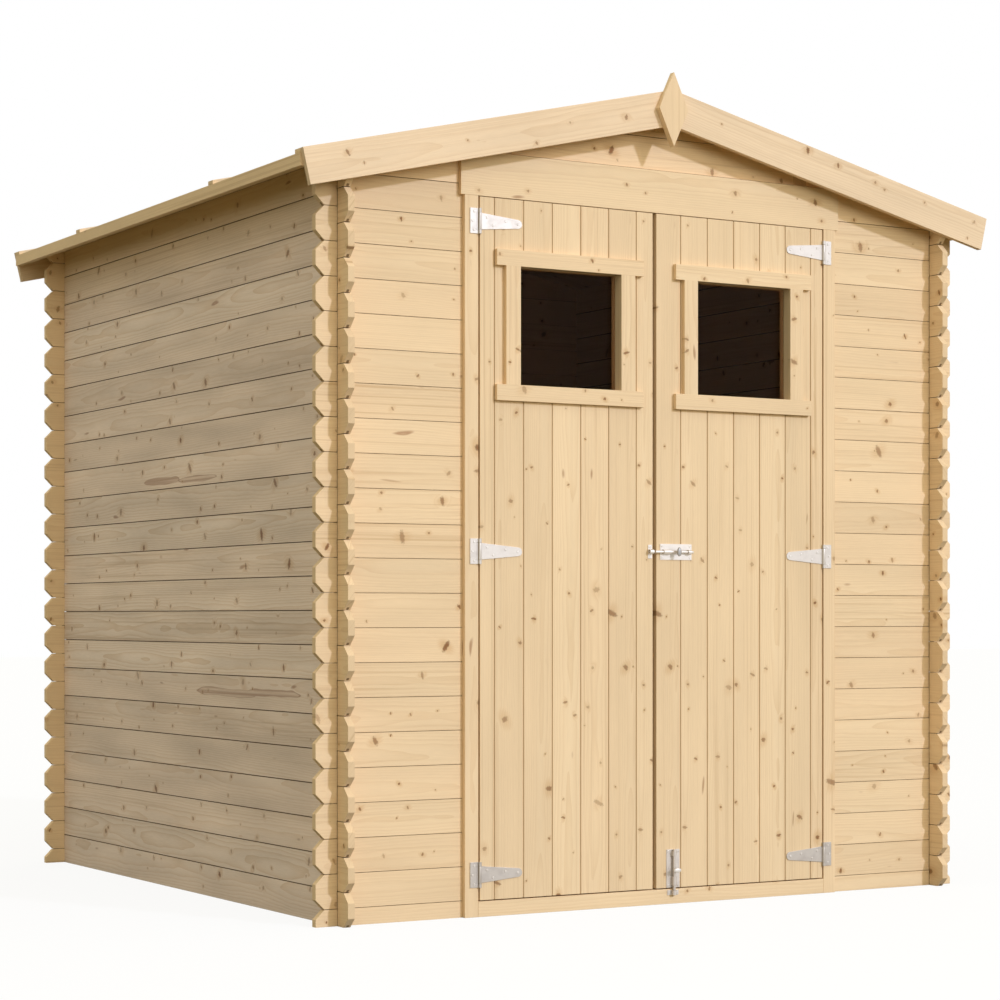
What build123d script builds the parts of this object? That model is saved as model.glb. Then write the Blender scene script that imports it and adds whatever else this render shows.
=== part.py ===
from build123d import *
import os
from math import ceil, cos, radians, tan

os.makedirs("parts", exist_ok=True)

# Wooden garden shed of interlocking log boards with a pitched roof and a pair of glazed doors.
# Millimetres. The origin is on the ground at the middle of the plan: +X right, +Y back, +Z up, front at -Y.

# Log walls
wall_width = 1930.0
wall_depth = 1930.0
board_thickness = 19.0
board_pitch = 88.0
board_gap = 1.4
log_end_length = 60.0
log_end_clearance = 0.5
dog_ear = 24.0
notch_clearance = 0.4
smallest_rip = 20.0
tongue_width = 8.0
tongue_height = 8.0
tongue_clearance = 0.4
course_shift_share = 0.5

# Doorway
door_opening_width = 1118.0
door_opening_height = 1862.0
doorway_offset = -6.0
sill_height = 40.0
trim_width = 40.0
trim_thickness = 14.0
jamb_web = 16.0
stop_width = 15.0
smallest_head = 20.0
header_overhang = 11.0
header_height = 114.5

# Roof
eave_rise_over_door = 67.0
roof_pitch_deg = 13.15
roof_board_thickness = 16.0
roof_board_pitch = 88.0
roof_overhang_side = 115.0
felt_thickness = 2.0
batten_thickness = 10.0
batten_width = 30.0
batten_middle_offset = 484.0
eave_strip_thickness = 17.0
eave_strip_height = 31.0
purlin_width = 45.0
purlin_height = 65.0
side_purlin_offset = 480.0
ridge_gap = 0.5

# Bargeboards and finials
bargeboard_thickness = 16.0
bargeboard_width = 93.4
finial_height = 198.0
finial_width = 92.0
finial_thickness = 18.0
finial_drop = 8.0
finial_shift = -9.5

# Door leaves
leaf_thickness = 19.0
leaf_gap = 5.0
leaf_head_gap = 2.0
leaf_foot_gap = 3.0
meeting_gap = 12.0
meeting_offset = -12.0
left_first_board = 53.0
right_first_board = 79.0
ledge_height = 70.0
ledge_thickness = 19.0
ledge_inset = 30.0
brace_width = 70.0
brace_gap = 0.5

# Joints between boards laid side by side
joint_width = 4.0
joint_depth = 3.0

# Door windows
window_width = 312.0
window_height = 308.0
window_top_inset = 174.5
window_shift = 3.5
window_stile_width = 44.0
window_rail_height = 42.0
window_rail_overhang = 28.0
window_trim_thickness = 13.0
glass_thickness = 4.0
glass_lap = 15.0
inner_frame_width = 44.0
inner_frame_thickness = 18.0

# Hinges
hinge_top_inset = 64.0
hinge_bottom_inset = 66.5
hinge_middle_drop = 8.8
hinge_plate_height = 66.0
hinge_plate_width = 28.0
hinge_strap_height = 44.0
hinge_tip_height = 23.0
hinge_strap_length = 128.0
hinge_metal = 2.5
knuckle_radius = 4.5
knuckle_gap = 0.3
knuckle_sides = 12

# Bolts
bolt_plate_length = 103.0
bolt_plate_width = 43.0
bolt_plate_metal = 2.0
bolt_radius = 4.0
bolt_clearance = 0.3
bolt_wall = 2.0
bolt_sides = 12
bolt_front_guide = 24.0
bolt_back_guide = 11.0
bolt_guide_inset = 6.0
bolt_knob_radius = 3.0
bolt_knob_length = 15.0
bolt_knob_place = 48.0
latch_nose = 20.0
latch_rise = 907.0
latch_plate_start = 11.0
foot_nose = 6.0
foot_bolt_place = 53.0
foot_plate_lift = 1.0
keeper_width = 13.0
keeper_flange = 12.0
keeper_metal = 2.0
keeper_edge = 3.0

# Floor
floor_board_thickness = 18.0
floor_board_pitch = 88.0
floor_gap = 0.5
bearer_width = 45.0
bearer_count = 5

# Seats and cuts
seat_gap = 0.3
overrun = 40.0

# Places worked out from the sizes above
slope = tan(radians(roof_pitch_deg))
upright = 1.0 / cos(radians(roof_pitch_deg))
half_width = wall_width / 2
half_depth = wall_depth / 2
half_opening = door_opening_width / 2
eave_height = door_opening_height + eave_rise_over_door
ridge_under = eave_height + slope * half_width
roof_top_ridge = ridge_under + roof_board_thickness * upright
felt_top_ridge = roof_top_ridge + felt_thickness * upright
batten_top_ridge = felt_top_ridge + batten_thickness * upright
roof_half_span = half_width + roof_overhang_side
eave_reach = roof_half_span + eave_strip_thickness
roof_end = half_depth + log_end_length + log_end_clearance
bargeboard_back = roof_end + seat_gap
bargeboard_front = bargeboard_back + bargeboard_thickness
bargeboard_depth = bargeboard_width * upright
trim_front = half_depth + trim_thickness
leaf_back = trim_front - leaf_thickness
hinge_axis_x = half_opening - leaf_gap / 2
hinge_axis_y = trim_front + knuckle_radius
leaf_bottom = sill_height + leaf_foot_gap
leaf_top = door_opening_height - leaf_head_gap
window_centre = leaf_top - window_top_inset - window_height / 2
hinge_low = leaf_bottom + hinge_bottom_inset
hinge_high = leaf_top - hinge_top_inset
hinge_heights = (hinge_low, (hinge_low + hinge_high) / 2 - hinge_middle_drop, hinge_high)
jamb_inside = half_depth - board_thickness - trim_thickness
bolt_lift = bolt_plate_metal + bolt_radius + bolt_clearance + bolt_wall
courses_beside_door = ceil((door_opening_height + smallest_head) / board_pitch - course_shift_share)
course_over_door = board_pitch * (courses_beside_door + course_shift_share)
front_plane = Plane.XZ.offset(half_depth)
rear_plane = Plane.XZ.offset(-half_depth)
leaf_front_plane = Plane.XZ.offset(trim_front)
leaf_back_plane = Plane.XZ.offset(leaf_back)


def save(builder, name):
    builder.part.label = name
    export_step(builder.part, f"parts/{name}.step")


def roof_line(ridge_height, x):
    return ridge_height - slope * abs(x)


# Closed outline through the given points, on a sketch plane
def outline_face(points):
    with BuildSketch(Plane.XY) as face:
        with BuildLine():
            Polyline(*points, close=True)
        make_face()
    return face.sketch


# Wall surface under the roof boards, from a low edge upwards, with pockets for the purlins
def gable_region(low_x, high_x, low_z):
    top = ridge_under - seat_gap
    points = [(low_x, low_z), (high_x, low_z), (high_x, roof_line(top, high_x))]
    if low_x < 0 < high_x:
        points.append((0, top))
    points.append((low_x, roof_line(top, low_x)))
    with BuildSketch(Plane.XY) as region:
        add(outline_face(points))
        for x in (-side_purlin_offset, 0, side_purlin_offset):
            pocket_low = roof_line(ridge_under, abs(x) + purlin_width / 2) - purlin_height - seat_gap
            pocket_high = ridge_under + overrun
            with Locations((x, (pocket_low + pocket_high) / 2)):
                Rectangle(purlin_width + 2 * seat_gap, pocket_high - pocket_low, mode=Mode.SUBTRACT)
    return region.sketch


# Stacked log boards: dog-eared ends, notches that straddle the crossing walls, a lap under the eaves
def board_outlines(half_run, lows, lap, region):
    length = 2 * (half_run + log_end_length)
    height = board_pitch - board_gap
    notch_middle = half_run - board_thickness / 2
    notch_width = board_thickness + 2 * notch_clearance
    notch_height = board_pitch / 2 + board_gap
    notch_rise = (board_pitch / 2 - board_gap) / 2
    straddling = [low for low in lows if low < course_over_door]
    corners = (-notch_middle, notch_middle)
    with BuildSketch(Plane.XY) as outlines:
        with Locations(*[(0, low + height / 2) for low in lows]):
            Rectangle(length, height)
        chamfer(outlines.vertices(), length=dog_ear)
        if straddling:
            with Locations(*[(x, low + notch_rise) for x in corners for low in straddling]):
                Rectangle(notch_width, notch_height, mode=Mode.SUBTRACT)
        with Locations(*[(x, (lap[0] + lap[1]) / 2) for x in corners]):
            Rectangle(notch_width, lap[1] - lap[0], mode=Mode.SUBTRACT)
        add(region, mode=Mode.INTERSECT)
    return outlines.sketch


# Tongue or groove sections at the board seams, in the plane across the boards
def seam_sections(middle, seams, spread):
    half_base = tongue_width / 2 + spread
    with BuildSketch(Plane.XY) as sections:
        for seam in seams:
            base = seam if spread > 0 else seam - board_gap
            tip = base + tongue_height + spread
            add(outline_face([(middle - half_base, base), (middle + half_base, base), (middle, tip)]))
    return sections.sketch


# A wall of log boards, each course its own board, with tongues let into grooves between the crossings
def board_wall(plane, depth, outlines, cross_plane, middle, seams, run):
    with BuildPart() as wall:
        with BuildSketch(plane):
            add(outlines)
        extrude(amount=depth)
        for spread, mode in ((tongue_clearance, Mode.SUBTRACT), (0, Mode.ADD)):
            with BuildSketch(cross_plane):
                add(seam_sections(middle, seams, spread))
            extrude(amount=run, mode=mode)
    return wall


side_courses = int((eave_height - smallest_rip) // board_pitch) + 1
end_courses = int((ridge_under - smallest_rip) / board_pitch + course_shift_share) + 1
side_lows = [course * board_pitch for course in range(side_courses)]
end_lows = [(course - course_shift_share) * board_pitch for course in range(end_courses)]
low_end_lows = [low for low in end_lows if low < course_over_door]
gable_lows = [low for low in end_lows if low >= course_over_door]
end_reach = half_width + log_end_length + overrun
side_reach = half_depth + log_end_length + overrun
corner_lap = (course_over_door + roof_line(ridge_under, half_width)) / 2
side_lap = (corner_lap - board_gap, ridge_under)
end_lap = (course_over_door - board_gap, corner_lap)

# Side walls, planed to the roof slope along the top
side_run = half_depth - board_thickness - notch_clearance
with BuildSketch(Plane.XY) as side_region:
    with Locations((0, ridge_under / 2)):
        Rectangle(2 * side_reach, ridge_under)
side_outlines = board_outlines(half_depth, side_lows, side_lap, side_region.sketch)
for name, side in (("left_wall", -1), ("right_wall", 1)):
    middle = side * (half_width - board_thickness / 2)
    wall = board_wall(Plane.YZ.offset(side * half_width), -side * board_thickness, side_outlines,
                      Plane.XZ.offset(-side_run), middle, side_lows[1:], 2 * side_run)
    roof_plane = Plane(origin=(0, 0, ridge_under - seat_gap), x_dir=(0, 1, 0), z_dir=(side * slope, 0, 1))
    with BuildPart() as planed:
        add(wall.part)
        split(bisect_by=roof_plane, keep=Keep.BOTTOM)
    save(planed, name)

# Rear wall with its gable
end_run = half_width - board_thickness - notch_clearance
end_middle = half_depth - board_thickness / 2
rear_outlines = board_outlines(half_width, end_lows, end_lap, gable_region(-end_reach, end_reach, 0))
rear_wall = board_wall(rear_plane, board_thickness, rear_outlines, Plane.YZ.offset(-end_run), end_middle,
                       low_end_lows[1:], 2 * end_run)
save(rear_wall, "rear_wall")

# Front wall beside and over the doorway
board_stop = half_opening + jamb_web + seat_gap
for name, side in (("front_wall_left", -1), ("front_wall_right", 1)):
    stop = doorway_offset + side * board_stop
    reach = sorted((stop, side * end_reach))
    run = sorted((stop, side * end_run))
    outlines = board_outlines(half_width, low_end_lows, end_lap, gable_region(reach[0], reach[1], 0))
    wall = board_wall(front_plane, -board_thickness, outlines, Plane.YZ.offset(run[0]), -end_middle,
                      low_end_lows[1:], run[1] - run[0])
    save(wall, name)
with BuildPart() as front_gable:
    with BuildSketch(front_plane):
        gable = gable_region(-end_reach, end_reach, course_over_door)
        add(board_outlines(half_width, gable_lows, end_lap, gable))
    extrude(amount=-board_thickness)
save(front_gable, "front_gable")

# Door jambs: channels that hold the board ends, with a trim outside and a stop inside
wall_front = half_depth + seat_gap
wall_back = half_depth - board_thickness - seat_gap
trim_edge = half_opening + trim_width
doorway_plane = Plane((doorway_offset, 0, 0))
for name, side in (("left_door_jamb", -1), ("right_door_jamb", 1)):
    jamb_points = [
        (side * half_opening, -trim_front),
        (side * trim_edge, -trim_front),
        (side * trim_edge, -wall_front),
        (side * (half_opening + jamb_web), -wall_front),
        (side * (half_opening + jamb_web), -wall_back),
        (side * trim_edge, -wall_back),
        (side * trim_edge, -jamb_inside),
        (side * (half_opening - stop_width), -jamb_inside),
        (side * (half_opening - stop_width), -wall_back),
        (side * half_opening, -wall_back),
    ]
    with BuildPart() as jamb:
        with BuildSketch(doorway_plane):
            add(outline_face(jamb_points))
        extrude(amount=door_opening_height - seat_gap)
    save(jamb, name)

# Head of the doorway, a rail under the gable with a lip behind it and a stop behind the leaves
head_points = [
    (-wall_front, door_opening_height),
    (-jamb_inside, door_opening_height),
    (-jamb_inside, course_over_door + trim_width),
    (-wall_back, course_over_door + trim_width),
    (-wall_back, course_over_door - seat_gap),
    (-wall_front, course_over_door - seat_gap),
]
head_height = course_over_door - door_opening_height
stop_depth = wall_back - jamb_inside
with BuildPart() as head:
    with BuildSketch(Plane.YZ.offset(doorway_offset - trim_edge)):
        add(outline_face(head_points))
    extrude(amount=2 * trim_edge)
    with Locations((doorway_offset, -(wall_front + wall_back) / 2, door_opening_height + head_height / 2)):
        with GridLocations(2 * (half_opening + jamb_web + trim_width / 2), head_height, 2, 1):
            Box(trim_width, wall_front - wall_back, head_height, mode=Mode.SUBTRACT)
    with Locations((doorway_offset, -(wall_back + jamb_inside) / 2, door_opening_height - stop_width / 2)):
        Box(door_opening_width - 2 * stop_width - 2 * seat_gap, stop_depth, stop_width)
save(head, "door_head")

# Sill between the jambs, cut round their stops
stand = (Align.CENTER, Align.CENTER, Align.MIN)
with BuildPart() as sill:
    with Locations((doorway_offset, -(trim_front + jamb_inside) / 2, 0)):
        Box(door_opening_width - 2 * seat_gap, trim_front - jamb_inside, sill_height, align=stand)
    with Locations((doorway_offset, -jamb_inside, 0)):
        with GridLocations(door_opening_width, sill_height, 2, 1):
            Box(2 * (stop_width + seat_gap), 2 * (stop_depth + 2 * seat_gap), sill_height, align=stand,
                mode=Mode.SUBTRACT)
save(sill, "door_sill")

# Header board over the doors, flush with the trim
with BuildPart() as header:
    with BuildSketch(front_plane.offset(seat_gap)):
        with Locations((doorway_offset, door_opening_height + header_height / 2)):
            Rectangle(2 * (trim_edge + header_overhang), header_height)
    extrude(amount=trim_thickness - seat_gap)
save(header, "door_header")


# Roof pieces: outlines in the XZ plane drawn along the shed's depth
def roof_prism(points, half_run):
    with BuildPart() as prism:
        with BuildSketch(Plane.XZ):
            add(outline_face(points))
        extrude(amount=half_run, both=True)
    return prism


# Four-sided band of the roof on one side, between two heights and two distances from the ridge
def roof_band(side, inner, outer, low_ridge, high_ridge):
    return [
        (side * inner, roof_line(low_ridge, inner)),
        (side * outer, roof_line(low_ridge, outer)),
        (side * outer, roof_line(high_ridge, outer)),
        (side * inner, roof_line(high_ridge, inner)),
    ]


# Purlins through the gables, planed to the slope along the top
purlin_top = ridge_under - seat_gap
ridge_side = roof_line(purlin_top, purlin_width / 2)
ridge_low = roof_line(ridge_under, purlin_width / 2) - purlin_height
ridge_points = [
    (-purlin_width / 2, ridge_low),
    (purlin_width / 2, ridge_low),
    (purlin_width / 2, ridge_side),
    (0, purlin_top),
    (-purlin_width / 2, ridge_side),
]
save(roof_prism(ridge_points, half_depth), "ridge_purlin")
with BuildPart() as side_purlins:
    for side in (-1, 1):
        inner = side_purlin_offset - purlin_width / 2
        outer = side_purlin_offset + purlin_width / 2
        low = roof_line(ridge_under, outer) - purlin_height
        points = [
            (side * inner, low),
            (side * outer, low),
            (side * outer, roof_line(purlin_top, outer)),
            (side * inner, roof_line(purlin_top, inner)),
        ]
        add(roof_prism(points, half_depth).part)
save(side_purlins, "side_purlins")


# V joints between boards laid side by side: one small triangle at each place
def joint_sections(places, level, inward):
    with BuildSketch(Plane.XY) as sections:
        for place in places:
            edges = [(place - joint_width / 2, level), (place + joint_width / 2, level)]
            add(outline_face(edges + [(place, level + inward)]))
    return sections.sketch


def joint_places(start, end, pitch):
    count = int((end - start - joint_width) // pitch)
    return [start + pitch * (index + 1) for index in range(count)]


# Roof boards with joints on the underside, felt, and the battens that hold the felt down
roof_joints = joint_places(-roof_end, roof_end, roof_board_pitch)
for word, side in (("left", -1), ("right", 1)):
    boards = roof_prism(roof_band(side, ridge_gap, roof_half_span, ridge_under, roof_top_ridge), roof_end)
    slope_plane = Plane(origin=(0, 0, ridge_under), x_dir=(0, 1, 0), z_dir=(side, 0, -slope))
    rising = joint_depth if slope_plane.y_dir.Z > 0 else -joint_depth
    with BuildPart() as roof_boards:
        add(boards.part)
        with BuildSketch(slope_plane):
            add(joint_sections(roof_joints, 0, rising))
        extrude(amount=roof_half_span * upright + overrun, mode=Mode.SUBTRACT)
    save(roof_boards, f"{word}_roof_boards")
    felt = roof_prism(roof_band(side, ridge_gap, roof_half_span, roof_top_ridge, felt_top_ridge), roof_end)
    save(felt, f"{word}_roof_felt")
batten_end = roof_end - batten_width / 2
with BuildPart() as battens:
    for side in (-1, 1):
        for y in (-batten_end, -batten_middle_offset, batten_middle_offset, batten_end):
            with BuildSketch(Plane.XZ.offset(y)):
                add(outline_face(roof_band(side, ridge_gap, eave_reach, felt_top_ridge, batten_top_ridge)))
            extrude(amount=batten_width / 2, both=True)
save(battens, "roof_battens")

# Strips along the eaves, over the edge of the felt
strip_inner = roof_half_span + seat_gap
strip_top = felt_top_ridge - seat_gap
strip_low = roof_line(roof_top_ridge, eave_reach) - eave_strip_height
with BuildPart() as eave_strips:
    for side in (-1, 1):
        points = [
            (side * strip_inner, strip_low),
            (side * eave_reach, strip_low),
            (side * eave_reach, roof_line(strip_top, eave_reach)),
            (side * strip_inner, roof_line(strip_top, strip_inner)),
        ]
        add(roof_prism(points, roof_end).part)
save(eave_strips, "eave_strips")

# Bargeboards, mitred at the ridge and cut square at the eaves, with a diamond finial over each mitre
bargeboard_low_ridge = batten_top_ridge - bargeboard_depth
bargeboard_low_x = eave_reach - bargeboard_depth * slope / (1 + slope * slope)
finial_centre = batten_top_ridge - bargeboard_depth / 2 - finial_drop
finial_points = [
    (finial_shift, finial_centre - finial_height / 2),
    (finial_shift + finial_width / 2, finial_centre),
    (finial_shift, finial_centre + finial_height / 2),
    (finial_shift - finial_width / 2, finial_centre),
]
ends = (
    ("front", bargeboard_back, bargeboard_front),
    ("rear", -bargeboard_front, -bargeboard_front - finial_thickness),
)
for word, board_offset, finial_offset in ends:
    with BuildPart() as bargeboards:
        for side in (-1, 1):
            points = [
                (side * ridge_gap, roof_line(batten_top_ridge, ridge_gap)),
                (side * eave_reach, roof_line(batten_top_ridge, eave_reach)),
                (side * bargeboard_low_x, roof_line(bargeboard_low_ridge, bargeboard_low_x)),
                (side * ridge_gap, roof_line(bargeboard_low_ridge, ridge_gap)),
            ]
            with BuildSketch(Plane.XZ.offset(board_offset)):
                add(outline_face(points))
            extrude(amount=bargeboard_thickness)
    save(bargeboards, f"{word}_bargeboards")
    with BuildPart() as finial:
        with BuildSketch(Plane.XZ.offset(finial_offset)):
            add(outline_face(finial_points))
        extrude(amount=finial_thickness)
    save(finial, f"{word}_finial")

# Floor boards on bearers, inside the walls and behind the sill
floor_front = -jamb_inside + floor_gap
floor_back = half_depth - board_thickness - floor_gap
floor_half = half_width - board_thickness - floor_gap
floor_length = floor_back - floor_front
floor_middle = (floor_front + floor_back) / 2
bearer_height = sill_height - floor_board_thickness
bearer_spacing = (2 * floor_half - bearer_width) / (bearer_count - 1)
with BuildPart() as bearers:
    with Locations((0, floor_middle, 0)):
        with GridLocations(bearer_spacing, floor_length, bearer_count, 1):
            Box(bearer_width, floor_length, bearer_height, align=stand)
save(bearers, "floor_bearers")
with BuildPart() as floor:
    with Locations((0, floor_middle, bearer_height)):
        Box(2 * floor_half, floor_length, floor_board_thickness, align=stand)
    with BuildSketch(Plane.YZ.offset(-floor_half)):
        floor_joints = joint_places(floor_front, floor_back, floor_board_pitch)
        add(joint_sections(floor_joints, sill_height, -joint_depth))
    extrude(amount=2 * floor_half, mode=Mode.SUBTRACT)
save(floor, "floor_boards")


# A diagonal brace between two ledges, cut to fit between them
def brace_face(start, end, field):
    run = Vector(*end) - Vector(*start)
    angle = Vector(1, 0).get_signed_angle(run)
    with BuildSketch(Plane.XY) as brace:
        with Locations(Location(((start[0] + end[0]) / 2, (start[1] + end[1]) / 2), angle)):
            Rectangle(run.length, brace_width)
        add(field, mode=Mode.INTERSECT)
    return brace.sketch


# Doors
leaf_height = leaf_top - leaf_bottom
leaf_centre = (leaf_bottom + leaf_top) / 2
trim_outer_width = window_width + 2 * window_stile_width
meeting_middle = doorway_offset + meeting_offset
for word, side, first_board in (("left", -1, left_first_board), ("right", 1, right_first_board)):
    hinge_edge = doorway_offset + side * (half_opening - leaf_gap)
    free_edge = meeting_middle + side * meeting_gap / 2
    leaf_width = abs(hinge_edge - free_edge)
    leaf_middle = (hinge_edge + free_edge) / 2
    window_middle = leaf_middle + window_shift

    # Leaf boards with joints on both faces and the window cut through
    first_joint = free_edge + side * first_board
    leaf_joints = [first_joint] + [first_joint + side * (place - first_board)
                                   for place in joint_places(first_board, leaf_width, board_pitch)]
    with BuildPart() as leaf:
        with BuildSketch(leaf_back_plane):
            with Locations((leaf_middle, leaf_centre)):
                Rectangle(leaf_width, leaf_height)
            with Locations((window_middle, window_centre)):
                Rectangle(window_width, window_height, mode=Mode.SUBTRACT)
        extrude(amount=leaf_thickness)
        with BuildSketch(Plane.XY.offset(leaf_bottom)):
            add(joint_sections(leaf_joints, -trim_front, joint_depth))
            add(joint_sections(leaf_joints, -leaf_back, -joint_depth))
        extrude(amount=leaf_height, mode=Mode.SUBTRACT)
    save(leaf, f"{word}_door_boards")

    # Ledges and a brace across the back
    ledge_length = leaf_width - 2 * ledge_inset
    brace_low = hinge_heights[0] + ledge_height / 2 + brace_gap
    brace_high = hinge_heights[1] - ledge_height / 2 - brace_gap
    brace_reach = ledge_length / 2 - brace_width
    with BuildSketch(Plane.XY) as brace_field:
        with Locations((leaf_middle, (brace_low + brace_high) / 2)):
            Rectangle(ledge_length, brace_high - brace_low)
    brace = brace_face((leaf_middle + side * brace_reach, brace_low - brace_width),
                       (leaf_middle - side * brace_reach, brace_high + brace_width), brace_field.sketch)
    with BuildPart() as ledges:
        with BuildSketch(leaf_back_plane):
            with Locations(*[(leaf_middle, height) for height in hinge_heights]):
                Rectangle(ledge_length, ledge_height)
            add(brace)
        extrude(amount=-ledge_thickness)
    save(ledges, f"{word}_door_ledges")

    # Window trim outside: two stiles between longer rails
    with BuildPart() as trim:
        with BuildSketch(leaf_front_plane):
            with Locations((window_middle, window_centre)):
                Rectangle(trim_outer_width, window_height)
                with GridLocations(trim_outer_width, window_height + window_rail_height, 1, 2):
                    Rectangle(trim_outer_width + 2 * window_rail_overhang, window_rail_height)
                Rectangle(window_width, window_height, mode=Mode.SUBTRACT)
        extrude(amount=window_trim_thickness)
    save(trim, f"{word}_window_trim")

    # Glass behind the leaf, in a rebated inner frame
    with BuildPart() as glass:
        with BuildSketch(leaf_back_plane.offset(-seat_gap)):
            with Locations((window_middle, window_centre)):
                Rectangle(window_width + 2 * glass_lap, window_height + 2 * glass_lap)
        extrude(amount=-glass_thickness)
    save(glass, f"{word}_window_glass")
    rebate_lap = glass_lap + seat_gap
    with BuildPart() as inner_frame:
        with BuildSketch(leaf_back_plane):
            with Locations((window_middle, window_centre)):
                Rectangle(window_width + 2 * inner_frame_width, window_height + 2 * inner_frame_width)
                Rectangle(window_width, window_height, mode=Mode.SUBTRACT)
        extrude(amount=-inner_frame_thickness)
        with BuildSketch(leaf_back_plane):
            with Locations((window_middle, window_centre)):
                Rectangle(window_width + 2 * rebate_lap, window_height + 2 * rebate_lap)
        extrude(amount=-glass_thickness - 2 * seat_gap, mode=Mode.SUBTRACT)
    save(inner_frame, f"{word}_window_frame")

    # Tee hinges: fixed plates on the trim and tapered straps on the leaf, with knuckles on one axis
    pin_x = doorway_offset + side * hinge_axis_x
    knuckle_end = (hinge_plate_height - hinge_strap_height) / 2 - knuckle_gap
    with BuildPart() as plates:
        for height in hinge_heights:
            with BuildSketch(leaf_front_plane):
                with Locations((pin_x + side * hinge_plate_width / 2, height)):
                    Rectangle(hinge_plate_width, hinge_plate_height)
                with Locations((pin_x, height)):
                    Rectangle(2 * (knuckle_radius + leaf_gap), hinge_strap_height + 2 * knuckle_gap,
                              mode=Mode.SUBTRACT)
            extrude(amount=hinge_metal)
            for low in (height - hinge_plate_height / 2, height + hinge_strap_height / 2 + knuckle_gap):
                with BuildSketch(Plane.XY.offset(low)):
                    with Locations((pin_x, -hinge_axis_y)):
                        RegularPolygon(knuckle_radius, knuckle_sides)
                extrude(amount=knuckle_end)
    save(plates, f"{word}_hinge_plates")
    with BuildPart() as straps:
        tip_x = pin_x - side * (hinge_strap_length - hinge_tip_height / 2)
        for height in hinge_heights:
            with BuildSketch(leaf_front_plane):
                root_up = (pin_x, height + hinge_strap_height / 2)
                root_down = (pin_x, height - hinge_strap_height / 2)
                tip_up = (tip_x, height + hinge_tip_height / 2)
                tip_down = (tip_x, height - hinge_tip_height / 2)
                add(outline_face([tip_down, root_down, root_up, tip_up]))
                with Locations((tip_x, height)):
                    RegularPolygon(hinge_tip_height / 2, knuckle_sides)
            extrude(amount=hinge_metal)
            with Locations((pin_x, -hinge_axis_y, height)):
                Cylinder(knuckle_radius, hinge_strap_height)
    save(straps, f"{word}_hinge_straps")


# A barrel bolt lying along its plane's X axis: a plate with two guides, and the rod with its knob
def bolt_plate(plane):
    guide_outer = bolt_radius + bolt_clearance + bolt_wall
    back_place = bolt_plate_length - bolt_guide_inset - bolt_back_guide
    with BuildPart() as plate:
        with BuildSketch(plane):
            with Locations((bolt_plate_length / 2, 0)):
                Rectangle(bolt_plate_length, bolt_plate_width)
        extrude(amount=bolt_plate_metal)
        for place, guide in ((bolt_guide_inset, bolt_front_guide), (back_place, bolt_back_guide)):
            guide_end = plane.from_local_coords((place, 0, bolt_lift))
            with BuildSketch(Plane(guide_end, x_dir=plane.y_dir, z_dir=plane.x_dir)):
                RegularPolygon(guide_outer, bolt_sides)
                with Locations((0, -guide_outer / 2)):
                    Rectangle(2 * guide_outer, guide_outer)
                RegularPolygon(bolt_radius + bolt_clearance, bolt_sides, mode=Mode.SUBTRACT)
            extrude(amount=guide)
    return plate


def bolt_rod(plane, nose):
    rod_end = plane.from_local_coords((-nose, 0, bolt_lift))
    knob_foot = plane.from_local_coords((bolt_knob_place, 0, bolt_lift))
    with BuildPart() as rod:
        with BuildSketch(Plane(rod_end, x_dir=plane.y_dir, z_dir=plane.x_dir)):
            RegularPolygon(bolt_radius, bolt_sides)
        extrude(amount=bolt_plate_length + nose)
        with BuildSketch(Plane(knob_foot, x_dir=plane.x_dir, z_dir=plane.z_dir)):
            RegularPolygon(bolt_knob_radius, bolt_sides)
        extrude(amount=bolt_knob_length)
    return rod


# A keeper: a bent strap that stands off its seat and holds the bolt's nose
def keeper(plane):
    ring = bolt_radius + bolt_clearance + bolt_wall
    with BuildPart() as loop:
        with BuildSketch(plane):
            with Locations((0, bolt_lift / 2)):
                Rectangle(2 * ring, bolt_lift)
            with Locations((0, bolt_lift)):
                RegularPolygon(ring, bolt_sides)
                RegularPolygon(bolt_radius + bolt_clearance, bolt_sides, mode=Mode.SUBTRACT)
            with Locations((0, keeper_metal / 2)):
                Rectangle(2 * (ring + keeper_flange), keeper_metal)
        extrude(amount=keeper_width)
    return loop


# Latch across the meeting of the leaves
left_free_edge = meeting_middle - meeting_gap / 2
right_free_edge = meeting_middle + meeting_gap / 2
latch_height = leaf_bottom + latch_rise
latch_start = (right_free_edge + latch_plate_start, -trim_front, latch_height)
latch_plane = Plane(latch_start, x_dir=(1, 0, 0), z_dir=(0, -1, 0))
save(bolt_plate(latch_plane), "latch_plate")
save(bolt_rod(latch_plane, latch_nose), "latch_bolt")
latch_catch = (left_free_edge - keeper_edge, -trim_front, latch_height)
save(keeper(Plane(latch_catch, x_dir=(0, 0, -1), z_dir=(-1, 0, 0))), "latch_keeper")

# Foot bolt at the bottom of the right leaf, with its keeper on the sill
foot_bolt_x = right_free_edge + foot_bolt_place
foot_start = (foot_bolt_x, -trim_front, leaf_bottom + foot_plate_lift)
foot_plane = Plane(foot_start, x_dir=(0, 0, 1), z_dir=(0, -1, 0))
save(bolt_plate(foot_plane), "foot_bolt_plate")
save(bolt_rod(foot_plane, foot_nose), "foot_bolt")
foot_catch = (foot_bolt_x, -trim_front, sill_height - keeper_edge)
save(keeper(Plane(foot_catch, x_dir=(1, 0, 0), z_dir=(0, 0, -1))), "sill_keeper")
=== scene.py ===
from math import cos, pi, radians, sin, tan

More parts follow.
